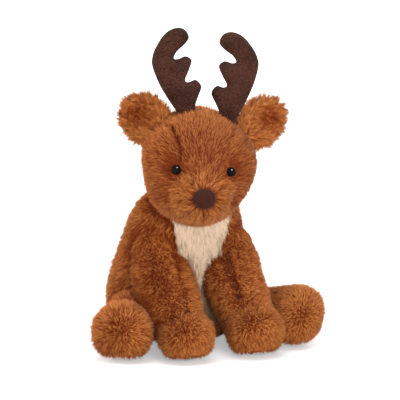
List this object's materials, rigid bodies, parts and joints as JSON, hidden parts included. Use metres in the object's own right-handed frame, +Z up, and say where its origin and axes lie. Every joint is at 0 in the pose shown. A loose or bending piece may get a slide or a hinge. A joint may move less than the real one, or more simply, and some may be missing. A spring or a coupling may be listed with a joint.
{
  "type": "plush deer",
  "caption": "Seated stuffed deer with soft felt antlers, round ears, bead eyes and a cream chest, its legs spread in front and the head turned to one side.",
  "frame": {"origin": "middle of the flat underside of the seat, on the surface the toy sits on", "axes": "+Z up, the chest and paws face -Y, the deer's own left side is towards +X; the head is turned 15 degrees towards its right"},
  "size_m": [0.2184, 0.2125, 0.2825],
  "materials": {
    "brown_plush": "short warm brown pile",
    "cream_plush": "longer cream pile, combed down",
    "antler_felt": "dark brown brushed felt",
    "nose_felt": "dark brown brushed felt, padded",
    "bead_plastic": "polished black",
    "fibre_filling": "white polyester fibre",
    "pouch_cloth": "plain grey cloth round plastic beans",
    "washer_plastic": "moulded natural white"
  },
  "bodies": {
    "torso": {"torso_cover": "brown_plush", "chest_bib": "cream_plush", "torso_filling": "fibre_filling", "seat_bean_pouch": "pouch_cloth"},
    "neck": {"neck_plug": "brown_plush"},
    "head": {"head_cover": "brown_plush", "head_filling": "fibre_filling", "nose": "nose_felt", "eye_left": "bead_plastic", "eye_right": "bead_plastic", "eye_washer_left": "washer_plastic", "eye_washer_right": "washer_plastic"},
    "ear_left": {"ear_left_back": "brown_plush", "ear_left_lining": "brown_plush"},
    "antler_left": {"antler_left": "antler_felt"},
    "front_leg_left": {"front_leg_left_cover": "brown_plush", "front_leg_left_filling": "fibre_filling"},
    "hind_leg_left": {"hind_leg_left_cover": "brown_plush", "hind_leg_left_filling": "fibre_filling"},
    "ear_right": {"ear_right_back": "brown_plush", "ear_right_lining": "brown_plush"},
    "antler_right": {"antler_right": "antler_felt"},
    "front_leg_right": {"front_leg_right_cover": "brown_plush", "front_leg_right_filling": "fibre_filling"},
    "hind_leg_right": {"hind_leg_right_cover": "brown_plush", "hind_leg_right_filling": "fibre_filling"},
    "tail": {"tail": "brown_plush"}
  },
  "joints": [
    {"name": "neck_turn", "type": "hinge", "parent": "torso", "child": "neck", "pos_m": [0, -0.04, 0.131], "axis": [0, 0, 1], "range_deg": [-15, 15], "stiffness_Nm_per_rad": 1.5},
    {"name": "neck_nod", "type": "hinge", "parent": "neck", "child": "head", "pos_m": [0, -0.04, 0.131], "axis": [0.9659, -0.2588, 0], "range_deg": [-8, 8], "stiffness_Nm_per_rad": 2},
    {"name": "ear_left_fold", "type": "hinge", "parent": "head", "child": "ear_left", "pos_m": [0.03623, -0.06444, 0.1862], "axis": [0.512, 0.0346, -0.8583], "range_deg": [-12, 12], "stiffness_Nm_per_rad": 0.05},
    {"name": "ear_right_fold", "type": "hinge", "parent": "head", "child": "ear_right", "pos_m": [-0.0368, -0.04487, 0.19082], "axis": [0.5236, -0.3121, 0.7927], "range_deg": [-12, 12], "stiffness_Nm_per_rad": 0.05},
    {"name": "antler_left_flex", "type": "hinge", "parent": "head", "child": "antler_left", "pos_m": [0.01989, -0.07039, 0.19774], "axis": [0.2588, 0.9659, 0], "range_deg": [-7, 7], "stiffness_Nm_per_rad": 0.15},
    {"name": "antler_right_flex", "type": "hinge", "parent": "head", "child": "antler_right", "pos_m": [-0.01211, -0.06181, 0.20422], "axis": [0.2588, 0.9659, 0], "range_deg": [-7, 7], "stiffness_Nm_per_rad": 0.15},
    {"name": "shoulder_left", "type": "hinge", "parent": "torso", "child": "front_leg_left", "pos_m": [0.036, -0.042, 0.086], "axis": [1, 0, 0], "range_deg": [-16, 0], "stiffness_Nm_per_rad": 0.3},
    {"name": "shoulder_right", "type": "hinge", "parent": "torso", "child": "front_leg_right", "pos_m": [-0.036, -0.042, 0.086], "axis": [1, 0, 0], "range_deg": [-16, 0], "stiffness_Nm_per_rad": 0.3},
    {"name": "hip_left", "type": "hinge", "parent": "torso", "child": "hind_leg_left", "pos_m": [0.045, -0.018, 0.027], "axis": [0, 0, 1], "range_deg": [0, 10], "stiffness_Nm_per_rad": 0.3},
    {"name": "hip_right", "type": "hinge", "parent": "torso", "child": "hind_leg_right", "pos_m": [-0.045, -0.018, 0.027], "axis": [0, 0, 1], "range_deg": [-10, 0], "stiffness_Nm_per_rad": 0.3},
    {"name": "tail_wag", "type": "hinge", "parent": "torso", "child": "tail", "pos_m": [0, 0.05656, 0.036], "axis": [0, 0, 1], "range_deg": [-15, 15], "stiffness_Nm_per_rad": 0.03}
  ]
}
